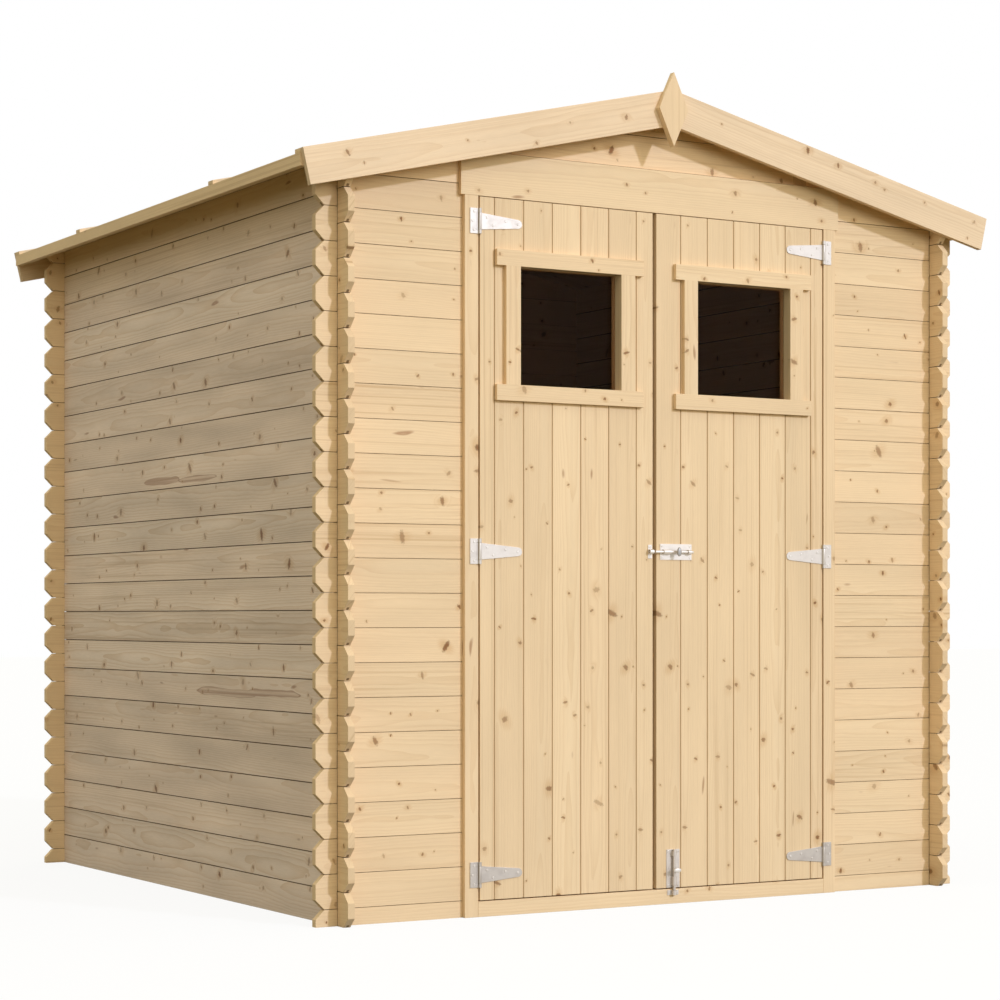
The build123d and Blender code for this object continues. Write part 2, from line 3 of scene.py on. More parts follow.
import bmesh
import bpy
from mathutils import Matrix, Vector


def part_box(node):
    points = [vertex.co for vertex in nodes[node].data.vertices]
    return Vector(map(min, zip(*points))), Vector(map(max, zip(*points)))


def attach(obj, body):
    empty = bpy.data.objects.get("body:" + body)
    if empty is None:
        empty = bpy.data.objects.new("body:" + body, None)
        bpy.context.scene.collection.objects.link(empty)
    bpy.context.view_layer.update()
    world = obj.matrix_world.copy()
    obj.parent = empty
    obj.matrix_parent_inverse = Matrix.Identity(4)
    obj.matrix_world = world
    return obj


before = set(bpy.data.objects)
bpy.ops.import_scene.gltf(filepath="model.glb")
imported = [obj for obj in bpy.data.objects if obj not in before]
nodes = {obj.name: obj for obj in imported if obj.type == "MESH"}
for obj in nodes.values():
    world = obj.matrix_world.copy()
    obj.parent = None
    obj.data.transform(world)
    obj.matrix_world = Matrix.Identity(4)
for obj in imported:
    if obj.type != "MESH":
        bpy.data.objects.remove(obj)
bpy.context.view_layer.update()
scene = bpy.context.scene
scene.view_settings.view_transform = "Standard"

# Camera, level, with the picture shifted up
camera_place = (-3.7936, -6.579, 0.7748)
camera_turn = radians(30.460)
camera_lens = 90.21
camera_rise_share = 0.11685

# Light: a soft sun from the right of the front, a broad lamp before it, and an even warm sky
sun_right = radians(23.2)
sun_height = radians(23.8)
sun_spread = radians(3.5)
sun_strength = 1.08
sun_colour = (1.0, 1.09, 1.40)
lamp_place = (1.0, -9.0, 2.8)
lamp_target = (0.0, -0.97, 1.1)
lamp_width = 8.0
lamp_height = 3.0
lamp_power = 190.0
lamp_colour = (1.0, 0.94, 0.79)
sky_strength = 0.825
sky_colour = (1.0, 0.95, 0.73, 1)
white = (1, 1, 1, 1)
floor_reach = 40.0
floor_colour = (0.11, 0.10, 0.04, 1)
floor_shadow_share = 0.12

# Places and sizes that the materials and screws follow, in metres
board_pitch = 0.088
board_thickness = 0.019
half_wall = 0.965
crossing_end = 1.0
roof_end = 1.0255
roof_slope = radians(13.15)
left_joint = -0.077
right_joint = 0.067
floor_front = -0.9315
window_height = 0.308
window_width = 0.312
brace_low = 0.145
brace_high = 0.908
brace_slant = 1.13
side_purlin = 0.48
leaf_front = 0.979
hinge_heights = (0.1095, 0.94395, 1.796)
hinge_pins = {"left": -0.5625, "right": 0.5505}
header_low = 1.862
head_low = 1.85
verge_low = 2.0326
trim_start = 0.55
ridge_height = 2.154
bevel_width = 0.0007
metal_bevel = 0.0005
bevel_segments = 2
bevel_angle = radians(30)
weld_reach = 0.00003

# Screws, hinge webs and knobs, in metres, with runs counted from the hinge pins
hinge_metal = 0.0025
bolt_metal = 0.002
web_start = 0.0050
web_end = 0.0095
web_height = 0.044
strap_screws = ((0.022, 0.011), (0.040, -0.009), (0.078, 0.005), (0.115, 0.0))
plate_screws = ((0.016, 0.024), (0.016, -0.024), (0.021, 0.0))
screw_radius = 0.0034
screw_height = 0.0015
screw_inset = 0.006
screw_turn = 0.7
screw_rings = ((1.0, -0.2), (1.0, 0.3), (0.88, 0.75), (0.66, 1.0))
recess_reach_share = 0.52
recess_half_share = 0.14
recess_floor_share = 0.3
corner_count = 12
latch_knob = 0.047
foot_knob = 0.092
knob_long = 0.0135
knob_short = 0.0075
knob_height = 0.009
knob_seat = 0.005
knob_rings = ((0.5, 0.0), (0.62, 0.1), (1.0, 0.4), (0.95, 0.75), (0.55, 0.97), (0.2, 1.0))
knob_levels = 2


def middle_of(name):
    low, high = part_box(name)
    return [(first + second) / 2 for first, second in zip(low, high)]


window_middles = {word: middle_of(word + "_window_glass")[0] for word in ("left", "right")}
window_centre = middle_of("left_window_glass")[2]

# Pine: layers of grain, as waves per metre along and across the board
slow_grain = (1.3, 4.0)
quick_grain = (7.0, 30.0)
streak_grain = (0.9, 120.0)
cloud_grain = (2.4, 14.0)
fibre_grain = (24.0, 900.0)
grain_detail = 1.0
streak_detail = 2.0
noise_middle = 0.5

# Pine: rings round a pith beside the board, in metres; pairs hold the least value and its span
ring_spacing = 0.0042
ring_wander = 0.020
ring_ripple = 0.0035
ring_swell = 0.006
ring_sharpness = 2.4
pith_across_shares = (-0.25, 1.5)
pith_depths = (-0.02, -0.06)
pith_lean_share = 0.03
board_shift = 40.0
grain_depth_share = 1.3
grain_step = 3.7
shape_seed = 3.0
tone_seed = 11.0

# Pine: knots, with shares of the stretch, of the board's width and of the knot's radius
large_knots = {"stretch": 0.27, "radius": 0.0095, "odds": 0.78, "seed": 5.0}
small_knots = {"stretch": 0.15, "radius": 0.0054, "odds": 0.50, "seed": 9.0}
knot_tilt = 1.5
knot_tilt_draws = 7.0
knot_second_draw = 31.0
knot_along_shares = (0.2, 0.6)
knot_across_shares = (0.08, 0.84)
knot_slim_shares = (0.35, 0.70)
knot_size_shares = (0.38, 0.62)
knot_force_shares = (0.40, 0.60)
knot_edge_shares = (1.1, 0.3)
ragged_grain = 190.0
ragged_share = 0.55
rim_place_share = 0.62
rim_reach_share = 0.30
halo_flat_shares = (0.5, 0.8)
halo_reach_share = 2.3
halo_fade_shares = (1.0, 0.2)

# Pine: colours
early_colour = (0.86, 0.662, 0.436, 1)
late_colour = (0.68, 0.455, 0.245, 1)
pink_colour = (0.82, 0.595, 0.38, 1)
streak_colour = (0.62, 0.42, 0.235, 1)
knot_colour = (0.23, 0.095, 0.032, 1)
knot_rim_colour = (0.10, 0.043, 0.017, 1)
halo_colour = (0.62, 0.375, 0.175, 1)
end_colour = (0.58, 0.40, 0.225, 1)
# The groove, seam and joint colours below are painted shade in the board seams, groove mouths and door
# joints
groove_shade_colour = (0.085, 0.040, 0.013, 1)
seam_shade_colour = (0.36, 0.19, 0.07, 1)
joint_shade_colour = (0.36, 0.22, 0.105, 1)
stain_colour = (0.40, 0.215, 0.115, 1)

# Pine: how strongly each layer shows; in pairs the second share is added on the greyed wood (painted shade
# on the left wall, a plain grey on the verges) or by chance
late_shares = (0.36, 0.30)
pink_share = 0.35
streak_levels = (0.50, 0.80)
streak_shares = (0.12, 0.60)
stain_rough_share = 0.9
stain_levels = (0.30, 0.42)
stain_patch_levels = (0.36, 0.60)
stain_patch_shares = (0.20, 0.45)
stain_rim_level = 0.34
stain_rim_reach = 0.06
stain_rim_share = 0.75
halo_share = 0.55
knot_share = 0.90
knot_rim_share = 0.30
end_share = 0.22
board_tone_shares = (0.09, 0.05)
cloud_shares = (0.13, 0.22)
fibre_shares = (0.10, 0.08)
wood_roughness = 0.54
fibre_roughness = 0.16
board_roughness = 0.06
knot_polish = 0.12
wood_specular = 0.10
wood_bump_share = 0.3
wood_bump_depth = 0.0008

# Pine: places of the painted shade (a greyer, bluer tint on the left wall, a plain grey tone on the
# verges), the streaks, the painted-shade dark lines and the end grain
grey_and_shade_tints = (0.985, 1.07, 1.46)
shade_tint_heights = (1.96, 1.68)
verge_grey_share = 0.2
# Painted light: brighter copies of the pine on the end walls and gable, the header and the uprights
painted_light_lifts = {"end_boards": 0.09, "header_board": 0.04, "upright_trim": 0.03}
stain_places = ((0.17, 0.22, 1.166, 0.018), (-0.10, 0.22, 1.163, 0.014), (-0.28, 0.30, 0.569, 0.019),
                (-0.58, 0.24, 0.573, 0.016))
groove_height = 0.0075
groove_half = 0.0042
groove_edge_share = 0.7
end_facing = (0.5, 0.8)
seam_shade_facing = (0.75, 0.95)
seam_shade_share = 0.8
side_seam_shade_facing = (0.10, 0.35)
side_seam_shade_share = 0.78
joint_side_facing = (0.4, 0.75)
joint_front_facing = (0.25, 0.5)
joint_shade_share = 0.5
# Painted shade: the dark line where the side walls cross the end walls
corner_shade_width = 0.0013
corner_shade_shares = (1.6, 0.6)
corner_shade_share = 0.75

# Numbers that tell boards apart, so that each has its own grain
side_number = 40.0
end_number = 80.0
front_number = 900.0
front_step = 25.0
leaf_number = 200.0
upright_number = 300.0
upright_steps = (3.0, 5.0)
header_number = 410.0
head_number = 420.0
sill_number = 430.0
rail_number = 440.0
roof_number = 460.0
roof_step = 30.0
floor_number = 480.0
verge_number = 500.0
verge_step = 4.0
window_number = 600.0
window_steps = (3.0, 5.0)
window_spread = 100.0
ledge_number = 700.0
brace_number = 9.0

# Zinc: tones, the heights between which it darkens towards the ground as a painted reflection of the dark
# ground, and its spangle and dull patches per metre
zinc_colour = (0.63, 0.572, 0.50, 1)
dull_and_low_shade_colour = (0.42, 0.37, 0.315, 1)
bolt_colour = (0.72, 0.655, 0.575, 1)
dull_and_low_shade_bolt_colour = (0.53, 0.465, 0.40, 1)
knob_shade_colour = (0.38, 0.36, 0.335, 1)
screw_colour = (0.84, 0.79, 0.72, 1)
low_shade_top = 0.9
low_shade_bottom = -0.25
low_shade_share = 0.85
spangle_grain = 260.0
spangle_share = 0.12
dull_grain = 38.0
dull_detail = 3.0
dull_levels = (0.45, 0.75)
dull_share = 0.3
zinc_roughness = 0.30
spangle_roughness = 0.12
dull_roughness = 0.22
zinc_metallic = 0.75
zinc_bump_share = 0.2
zinc_bump_depth = 0.0004

# Felt and glass
felt_ground_colour = (0.045, 0.047, 0.05, 1)
felt_grain_colour = (0.19, 0.19, 0.185, 1)
felt_patch_colour = (0.13, 0.135, 0.13, 1)
felt_grain = 650.0
felt_patch_grain = 3.0
felt_patch_detail = 4.0
felt_patch_levels = (0.4, 0.7)
felt_patch_share = 0.4
felt_roughness = 0.93
felt_bump_share = 0.6
felt_bump_depth = 0.001
pane_colour = (0.68, 0.55, 0.42, 1)
pane_index = 1.12
pane_roughness = 0.01
dust_grain = 14.0
dust_detail = 5.0
dust_levels = (0.55, 0.85)
dust_roughness = 0.10


# Number flow in a node tree, written with ordinary signs
class Flow:
    def __init__(self, tree, socket):
        self.tree = tree
        self.socket = socket

    def do(self, operation, other=0.0):
        made = self.tree.nodes.new("ShaderNodeMath")
        made.operation = operation
        feed(self.tree, made.inputs[0], self)
        feed(self.tree, made.inputs[1], other)
        return Flow(self.tree, made.outputs[0])

    def __add__(self, other):
        return self.do("ADD", other)

    def __sub__(self, other):
        return self.do("SUBTRACT", other)

    def __mul__(self, other):
        return self.do("MULTIPLY", other)

    def __truediv__(self, other):
        return self.do("DIVIDE", other)

    def size(self):
        return self.do("ABSOLUTE")

    def sign(self):
        return self.do("SIGN")

    def whole(self):
        return self.do("FLOOR")

    def part(self):
        return self.do("FRACT")

    def over(self, limit):
        return self.do("GREATER_THAN", limit)

    def under(self, limit):
        return self.do("LESS_THAN", limit)

    def most(self, other):
        return self.do("MAXIMUM", other)

    def turned(self):
        return self * -1.0 + 1.0

    def centred(self):
        return self - noise_middle

    def spread(self, pair):
        return self * pair[1] + pair[0]

    def between(self, low, high):
        made = put(self.tree, "ShaderNodeMapRange", {"Value": self, "From Min": low, "From Max": high},
                   interpolation_type="SMOOTHSTEP")
        return Flow(self.tree, made.outputs[0])


def feed(tree, socket, value):
    if isinstance(value, Flow):
        tree.links.new(value.socket, socket)
    else:
        socket.default_value = value


def put(tree, kind, values, **settings):
    made = tree.nodes.new(kind)
    for name, value in settings.items():
        setattr(made, name, value)
    for key, value in values.items():
        feed(tree, made.inputs[key], value)
    return made


def vector(tree, x, y, z):
    return Flow(tree, put(tree, "ShaderNodeCombineXYZ", {"X": x, "Y": y, "Z": z}).outputs[0])


def noise(tree, place, detail, dimensions="3D"):
    made = put(tree, "ShaderNodeTexNoise", {"Vector": place, "Scale": 1.0, "Detail": detail},
               noise_dimensions=dimensions)
    return Flow(tree, made.outputs[0])


# A layer of grain, drawn out along the board
def grain(tree, along, around, layer, detail):
    return noise(tree, vector(tree, along * layer[0], around * layer[1], 0.0), detail, "2D")


def chances(tree, x, y):
    made = put(tree, "ShaderNodeTexWhiteNoise", {"Vector": vector(tree, x, y, 0.0)}, noise_dimensions="3D")
    split = put(tree, "ShaderNodeSeparateColor", {"Color": Flow(tree, made.outputs["Color"])})
    return [Flow(tree, socket) for socket in split.outputs]


# The colour sockets of a mix node come after its number and vector ones
def mix(tree, share, first, second):
    made = tree.nodes.new("ShaderNodeMix")
    made.data_type = "RGBA"
    feed(tree, made.inputs["Factor"], share)
    feed(tree, made.inputs[6], first)
    feed(tree, made.inputs[7], second)
    return Flow(tree, made.outputs[2])


def hypotenuse(first, second):
    return (first * first + second * second).do("SQRT")


# Knots of one size, at most one in each stretch of a board, some faint and some drawn out across it
def knots(tree, along, across, board, width, kind):
    stretch, radius, seed = kind["stretch"], kind["radius"], kind["seed"]
    run = along / stretch + chances(tree, board, seed)[0] * seed
    cell = run.whole()
    first, second, third = chances(tree, cell, board + seed)
    present, force, slim = chances(tree, cell + knot_second_draw, board + seed)
    du = (run - cell - first.spread(knot_along_shares)) * stretch
    dv = across - width * second.spread(knot_across_shares)
    tilt = (force * knot_tilt_draws).part().centred() * knot_tilt
    level = du * tilt.do("COSINE") - dv * tilt.do("SINE")
    slant = du * tilt.do("SINE") + dv * tilt.do("COSINE")
    ragged = noise(tree, vector(tree, du * ragged_grain, dv * ragged_grain + cell, 0.0), grain_detail, "2D")
    distance = hypotenuse(level, slant * slim.spread(knot_slim_shares))
    distance = distance + ragged.centred() * (radius * ragged_share)
    size = (third * third).spread([radius * share for share in knot_size_shares])
    there = present.under(kind["odds"]) * force.spread(knot_force_shares)
    body = distance.between(*[size * share for share in knot_edge_shares]) * there
    rim = (distance / size - rim_place_share).size().between(rim_reach_share, 0.0) * there
    oval = hypotenuse(level * halo_flat_shares[0], slant * halo_flat_shares[1])
    halo = (oval / (size * halo_reach_share)).between(*halo_fade_shares) * there
    return body, rim, halo


pine_inputs = ("Along", "Across", "Deep", "Board", "Width", "End",
               "GrooveShade", "Seam", "JointShade", "Stain", "GreyAndShade", "Lift")


# Solid pine with rings round a pith beside each board, knots, streaks and end grain
def grow_pine():
    tree = bpy.data.node_groups.new("pine", "ShaderNodeTree")
    for name in pine_inputs:
        tree.interface.new_socket(name, in_out="INPUT", socket_type="NodeSocketFloat")
    tree.interface.new_socket("Color", in_out="OUTPUT", socket_type="NodeSocketColor")
    tree.interface.new_socket("Roughness", in_out="OUTPUT", socket_type="NodeSocketFloat")
    tree.interface.new_socket("Height", in_out="OUTPUT", socket_type="NodeSocketFloat")
    entry = tree.nodes.new("NodeGroupInput")
    leave = tree.nodes.new("NodeGroupOutput")
    flows = [Flow(tree, entry.outputs[name]) for name in pine_inputs]
    along, across, deep, board, width, end, groove_shade, seam_shade, joint_shade, stain, grey_and_shade, painted_lift = flows
    first, second, third = chances(tree, board, shape_seed)
    tone, hue, shade = chances(tree, board, tone_seed)
    shifted = along + first * board_shift
    around = across + deep * grain_depth_share + board * grain_step

    large = knots(tree, along, across, board, width, large_knots)
    small = knots(tree, along, across, board, width, small_knots)
    body, rim, halo = [wide.most(slight) for wide, slight in zip(large, small)]

    slow = grain(tree, shifted, around, slow_grain, grain_detail)
    quick = grain(tree, shifted, around, quick_grain, grain_detail)
    streak = grain(tree, shifted, around, streak_grain, streak_detail)
    cloud = grain(tree, shifted, around, cloud_grain, grain_detail)
    fibre = grain(tree, shifted, around, fibre_grain, grain_detail)
    pith_across = width * second.spread(pith_across_shares) + third.centred() * along * pith_lean_share
    pith_deep = first.spread(pith_depths)
    radius = hypotenuse(across - pith_across, deep - pith_deep)
    bent = radius + slow.centred() * ring_wander + quick.centred() * ring_ripple + halo * ring_swell
    late = (bent / ring_spacing).part().do("POWER", ring_sharpness)

    colour = mix(tree, late * grey_and_shade.spread(late_shares), early_colour, late_colour)
    colour = mix(tree, hue * pink_share, colour, pink_colour)
    streaky = streak.between(*streak_levels) * (shade * shade).spread(streak_shares)
    colour = mix(tree, streaky, colour, streak_colour)
    rough_edge = stain + quick.centred() * stain_rough_share
    patchy = streak.between(*stain_patch_levels).spread(stain_patch_shares)
    colour = mix(tree, rough_edge.between(*stain_levels) * patchy, colour, stain_colour)
    outline = (rough_edge - stain_rim_level).size().between(stain_rim_reach, 0.0)
    colour = mix(tree, outline * stain_rim_share, colour, stain_colour)
    colour = mix(tree, halo * halo_share, colour, halo_colour)
    colour = mix(tree, body * knot_share, colour, knot_colour)
    colour = mix(tree, rim * knot_rim_share, colour, knot_rim_colour)
    colour = mix(tree, end * end_share, colour, end_colour)
    level = tone.centred() * grey_and_shade.spread(board_tone_shares) + 1.0
    level = level + cloud.centred() * grey_and_shade.spread(cloud_shares)
    level = level + fibre.centred() * grey_and_shade.spread(fibre_shares) + painted_lift
    # Painted shade: a greyer, bluer tint on the shaded left wall, and a plain grey on the verges
    tints = [level * (grey_and_shade * (share - 1) + 1.0) for share in grey_and_shade_tints]
    bright = put(tree, "ShaderNodeVectorMath", {0: colour, 1: vector(tree, *tints)}, operation="MULTIPLY")
    # Painted shade: dark colours in the board seams, the V joints and the groove mouths
    colour = mix(tree, seam_shade, Flow(tree, bright.outputs[0]), seam_shade_colour)
    colour = mix(tree, joint_shade, colour, joint_shade_colour)
    colour = mix(tree, groove_shade, colour, groove_shade_colour)
    feed(tree, leave.inputs["Color"], colour)
    rough = fibre * fibre_roughness + wood_roughness + shade * board_roughness - body * knot_polish
    feed(tree, leave.inputs["Roughness"], rough)
    feed(tree, leave.inputs["Height"], fibre)
    return tree


pine_group = grow_pine()


# A new material with its tree, its shader and the coordinates of the piece
def new_material(name):
    material = bpy.data.materials.new(name)
    material.use_nodes = True
    tree = material.node_tree
    points = tree.nodes.new("ShaderNodeTexCoord")
    return material, tree, tree.nodes["Principled BSDF"], points


def split_vector(tree, value):
    made = put(tree, "ShaderNodeSeparateXYZ", {"Vector": value})
    return [Flow(tree, socket) for socket in made.outputs]


def roughen(tree, shader, height, share, depth):
    bump = put(tree, "ShaderNodeBump", {"Height": height, "Strength": share, "Distance": depth})
    feed(tree, shader.inputs["Normal"], Flow(tree, bump.outputs[0]))


# One pine finish: lay gives the places along, across and into the board, its number, width and direction
def pine(name, lay):
    material, tree, shader, points = new_material(name)
    x, y, z = split_vector(tree, Flow(tree, points.outputs["Object"]))
    face = [value.size() for value in split_vector(tree, Flow(tree, points.outputs["Normal"]))]
    along, across, deep, board, width, axis = lay(x, y, z)
    wood = put(tree, "ShaderNodeGroup", {}, node_tree=pine_group)
    values = {"Along": along, "Across": across, "Deep": deep, "Board": board, "Width": width}
    if axis:
        values["End"] = face["XYZ".index(axis)].between(*end_facing)
    if lay in notched_lays:
        # Painted shade: a near-black dot at each groove mouth in the log ends
        values["GrooveShade"] = groove_mouth_shade(along, across, deep) * values["End"]
        # Painted shade: dark brown on the faces inside the board seams
        values["Seam"] = face[2].between(*seam_shade_facing) * seam_shade_share
    if lay is side_lay:
        # Painted shade on the side walls: a dark line where they cross the end walls, and near-black seam
        # edges between the corners
        away = (along.size() - half_wall - corner_shade_width).size()
        corner_shade = away.between(*[corner_shade_width * share for share in corner_shade_shares])
        between_corners = y.size().under(half_wall)
        seam_edge_shade = face[2].between(*side_seam_shade_facing) * between_corners * side_seam_shade_share
        dark_shade = values["GrooveShade"].most(values["Seam"]).most(seam_edge_shade)
        values["GrooveShade"] = dark_shade.most(corner_shade * corner_shade_share)
        values["Stain"] = stains(x, y, z)
        # Painted shade: the outer face of the left wall, below the eaves, gets a greyer, bluer tint for its
        # sky-lit shade
        outside = x.under(0.0) * deep.over(board_thickness / 2)
        values["GreyAndShade"] = outside * between_corners * z.between(*shade_tint_heights)
    if lay is verge_lay:
        # A plain greyer tone on the verge boards, through the same input as the painted shade
        values["GreyAndShade"] = verge_grey_share
    # Painted light: these finishes are made brighter than the rest of the pine
    if name in painted_light_lifts:
        values["Lift"] = painted_light_lifts[name]
    if name in leaf_finishes:
        # Painted shade: darker brown on the slanted faces of the V joints between door boards
        joint_shade_faces = face[0].between(*joint_side_facing) * face[1].between(*joint_front_facing)
        values["JointShade"] = joint_shade_faces * joint_shade_share
    for key, value in values.items():
        feed(tree, wood.inputs[key], value)
    feed(tree, shader.inputs["Base Color"], Flow(tree, wood.outputs["Color"]))
    feed(tree, shader.inputs["Roughness"], Flow(tree, wood.outputs["Roughness"]))
    roughen(tree, shader, Flow(tree, wood.outputs["Height"]), wood_bump_share, wood_bump_depth)
    shader.inputs["Specular IOR Level"].default_value = wood_specular
    return material


# Long reddish streaks on the left wall, strongest in the middle
def stains(x, y, z):
    strongest = x * 0.0
    for middle, length, height, depth in stain_places:
        away = hypotenuse((y - middle) / length, (z - height) / depth)
        strongest = strongest.most(away.between(1.0, 0.0))
    return strongest * x.under(0.0)


# Mouth of the groove under each log board, seen in its end grain, painted as a near-black dot for the shade
# in it
def groove_mouth_shade(along, across, deep):
    beyond = along.size().over(crossing_end)
    low = across.between(groove_height, groove_height * groove_edge_share)
    from_middle = (deep - board_thickness / 2).size()
    return beyond * low * from_middle.between(groove_half, groove_half * groove_edge_share)


def courses(value, start, pitch):
    number = ((value - start) / pitch).whole()
    return number, value - number * pitch - start


def side_lay(x, y, z):
    number, across = courses(z, 0.0, board_pitch)
    deep = x.size() - (half_wall - board_thickness)
    return y, across, deep, number + x.sign() * side_number, board_pitch, "Y"


def end_lay(x, y, z):
    number, across = courses(z, -board_pitch / 2, board_pitch)
    deep = y.size() - (half_wall - board_thickness)
    return x, across, deep, number + y.sign() * end_number, board_pitch, "X"


# The boards left and right of the doorway are separate ones
def front_lay(x, y, z):
    number, across = courses(z, -board_pitch / 2, board_pitch)
    deep = y * -1.0 - (half_wall - board_thickness)
    return x, across, deep, number + x.sign() * front_step + front_number, board_pitch, "X"


def door_lay(start):
    def lay(x, y, z):
        number, across = courses(x, start, board_pitch)
        return z, across, y + half_wall, number + leaf_number, board_pitch, "Z"
    return lay


def upright_lay(x, y, z):
    number = x.sign() * upright_steps[0] + y.sign() * upright_steps[1] + upright_number
    return z, x.size() - trim_start, y.size() - half_wall, number, board_pitch, "Z"


def level_lay(number, low):
    def lay(x, y, z):
        return x, z - low, y + half_wall, number, board_pitch, "X"
    return lay


def deep_lay(number):
    def lay(x, y, z):
        count = (x / side_purlin * 2.0).do("ROUND")
        return y, z, x - count * (side_purlin / 2), count + number, board_pitch, "Y"
    return lay


def roof_lay(x, y, z):
    count, across = courses(y, -roof_end, board_pitch)
    deep = z + x.size() * tan(roof_slope) - ridge_height
    return x, across, deep, count + x.sign() * roof_step + roof_number, board_pitch, "X"


def floor_lay(x, y, z):
    count, across = courses(y, floor_front, board_pitch)
    return x, across, z, count + floor_number, board_pitch, "X"


def verge_lay(x, y, z):
    run = x.size() * cos(roof_slope) - z * sin(roof_slope)
    across = x.size() * sin(roof_slope) + z * cos(roof_slope) - verge_low
    number = x.sign() + y.sign() * verge_step + verge_number
    return run * x.sign(), across, y.size() - roof_end, number, board_pitch, "X"


# Rails lie along X above and below the window, stiles stand between them
def window_lay(middle):
    def lay(x, y, z):
        run = x - middle
        rise = z - window_centre
        rail = rise.size().over(window_height / 2)
        stile = rail.turned()
        along = x * rail + z * stile
        across = (rise.size() - window_height / 2) * rail
        across = across + (run.size() - window_width / 2) * stile
        number = rise.sign() * rail * window_steps[0] + run.sign() * stile * window_steps[1]
        number = number + middle * window_spread + window_number
        return along, across, y + leaf_front, number, board_pitch / 2, ""
    return lay


# Ledges lie along X, and the brace between the lower two runs on the slant
def ledge_lay(side):
    slant = brace_slant * side

    def lay(x, y, z):
        brace = z.over(brace_low) * z.under(brace_high)
        plain = brace.turned()
        along = x * plain + (x * cos(slant) - z * sin(slant)) * brace
        across = z * plain + (x * sin(slant) + z * cos(slant)) * brace
        number = (z / brace_high * 2.0).whole() * plain + brace * brace_number
        return along, across, y + half_wall, number + ledge_number + side, board_pitch, "X"
    return lay


notched_lays = (side_lay, end_lay, front_lay)
leaf_finishes = ("left_leaf", "right_leaf")
finishes = {
    "side_boards": (side_lay, ("left_wall", "right_wall")),
    "end_boards": (end_lay, ("rear_wall", "front_gable")),
    "front_boards": (front_lay, ("front_wall_left", "front_wall_right")),
    "left_leaf": (door_lay(left_joint), ("left_door_boards",)),
    "right_leaf": (door_lay(right_joint), ("right_door_boards",)),
    "upright_trim": (upright_lay, ("left_door_jamb", "right_door_jamb", "front_finial", "rear_finial")),
    "header_board": (level_lay(header_number, header_low), ("door_header",)),
    "head_rail": (level_lay(head_number, head_low), ("door_head",)),
    "sill_rail": (level_lay(sill_number, 0.0), ("door_sill",)),
    "long_rails": (deep_lay(rail_number), ("ridge_purlin", "side_purlins", "eave_strips", "floor_bearers")),
    "roof_lining": (roof_lay, ("left_roof_boards", "right_roof_boards", "roof_battens")),
    "floor_lining": (floor_lay, ("floor_boards",)),
    "verge_boards": (verge_lay, ("front_bargeboards", "rear_bargeboards")),
    "left_window_wood": (window_lay(window_middles["left"]), ("left_window_trim", "left_window_frame")),
    "right_window_wood": (window_lay(window_middles["right"]), ("right_window_trim", "right_window_frame")),
    "left_ledge_wood": (ledge_lay(-1), ("left_door_ledges",)),
    "right_ledge_wood": (ledge_lay(1), ("right_door_ledges",)),
}


def scaled(tree, place, size):
    made = put(tree, "ShaderNodeVectorMath", {0: place, 1: (size, size, size)}, operation="MULTIPLY")
    return Flow(tree, made.outputs[0])


# A tone for each cell of a scattered pattern
def cell_tones(tree, place):
    cells = put(tree, "ShaderNodeTexVoronoi", {"Vector": place, "Scale": 1.0})
    split = put(tree, "ShaderNodeSeparateColor", {"Color": Flow(tree, cells.outputs["Color"])})
    return Flow(tree, split.outputs[0])


# Zinc with a faint spangle and a few dull patches, painted darker towards the ground for the dark ground it
# reflects
def zinc(name, clean, dull_and_shaded):
    material, tree, shader, points = new_material(name)
    place = Flow(tree, points.outputs["Object"])
    flake = cell_tones(tree, scaled(tree, place, spangle_grain))
    dull = noise(tree, scaled(tree, place, dull_grain), dull_detail)
    low = split_vector(tree, place)[2].between(low_shade_top, low_shade_bottom)
    colour = mix(tree, dull.between(*dull_levels) * dull_share + low * low_shade_share, clean, dull_and_shaded)
    feed(tree, shader.inputs["Base Color"], mix(tree, flake * spangle_share, colour, clean))
    rough = flake * spangle_roughness + zinc_roughness + dull * dull_roughness
    feed(tree, shader.inputs["Roughness"], rough)
    shader.inputs["Metallic"].default_value = zinc_metallic
    roughen(tree, shader, dull, zinc_bump_share, zinc_bump_depth)
    return material


# Mineral felt: grey grains on a dark ground
def felt():
    material, tree, shader, points = new_material("mineral_felt")
    place = Flow(tree, points.outputs["Object"])
    speck = cell_tones(tree, scaled(tree, place, felt_grain))
    patch = noise(tree, scaled(tree, place, felt_patch_grain), felt_patch_detail)
    colour = mix(tree, speck, felt_ground_colour, felt_grain_colour)
    colour = mix(tree, patch.between(*felt_patch_levels) * felt_patch_share, colour, felt_patch_colour)
    feed(tree, shader.inputs["Base Color"], colour)
    shader.inputs["Roughness"].default_value = felt_roughness
    roughen(tree, shader, speck, felt_bump_share, felt_bump_depth)
    return material


# Clear glass with a thin film of dust
def pane():
    material, tree, shader, points = new_material("pane")
    place = Flow(tree, points.outputs["Object"])
    dust = noise(tree, scaled(tree, place, dust_grain), dust_detail)
    feed(tree, shader.inputs["Roughness"], dust.between(*dust_levels) * dust_roughness + pane_roughness)
    shader.inputs["Base Color"].default_value = pane_colour
    shader.inputs["Transmission Weight"].default_value = 1.0
    shader.inputs["IOR"].default_value = pane_index
    return material


zinc_metal = zinc("zinc", zinc_colour, dull_and_low_shade_colour)
bolt_zinc = zinc("bolt_zinc", bolt_colour, dull_and_low_shade_bolt_colour)
screw_metal = zinc("bright_zinc", screw_colour, zinc_colour)
# The latch knob is painted dark for the shade it sits in; the foot bolt's knob is bright zinc
knob_metals = {"latch_bolt": zinc("knob_shade_zinc", knob_shade_colour, dull_and_low_shade_colour), "foot_bolt": screw_metal}


